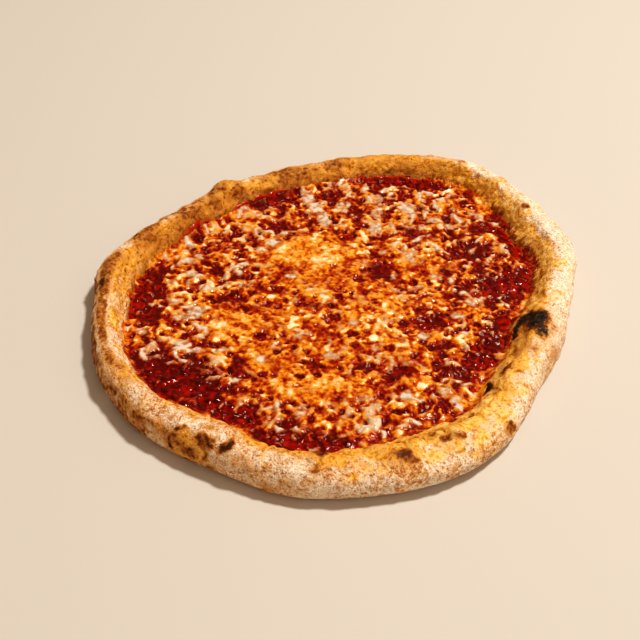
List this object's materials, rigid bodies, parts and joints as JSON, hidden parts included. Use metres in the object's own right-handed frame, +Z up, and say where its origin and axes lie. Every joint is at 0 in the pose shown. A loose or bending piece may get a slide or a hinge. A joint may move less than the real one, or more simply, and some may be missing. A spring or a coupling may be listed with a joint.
{
  "type": "cheese pizza",
  "caption": "Whole hand-stretched cheese pizza: puffed browned crust with blisters, tomato sauce and a melted shredded mozzarella sheet with bare patches.",
  "frame": {"origin": "middle of the pizza's box on plan, at the surface it rests on", "axes": "+Z up through the pizza, -Y towards the side nearest the viewer, +X to the viewer's right"},
  "size_m": [0.2714, 0.2726, 0.0242],
  "materials": {
    "crust": "baked dough, floury tan outside, golden brown inside, dark blisters",
    "sauce": "cooked tomato sauce, deep red, wet",
    "cheese": "melted mozzarella, cream to oily orange"
  },
  "bodies": {
    "root": {"crust": "crust", "sauce": "sauce", "cheese": "cheese"}
  },
  "joints": []
}
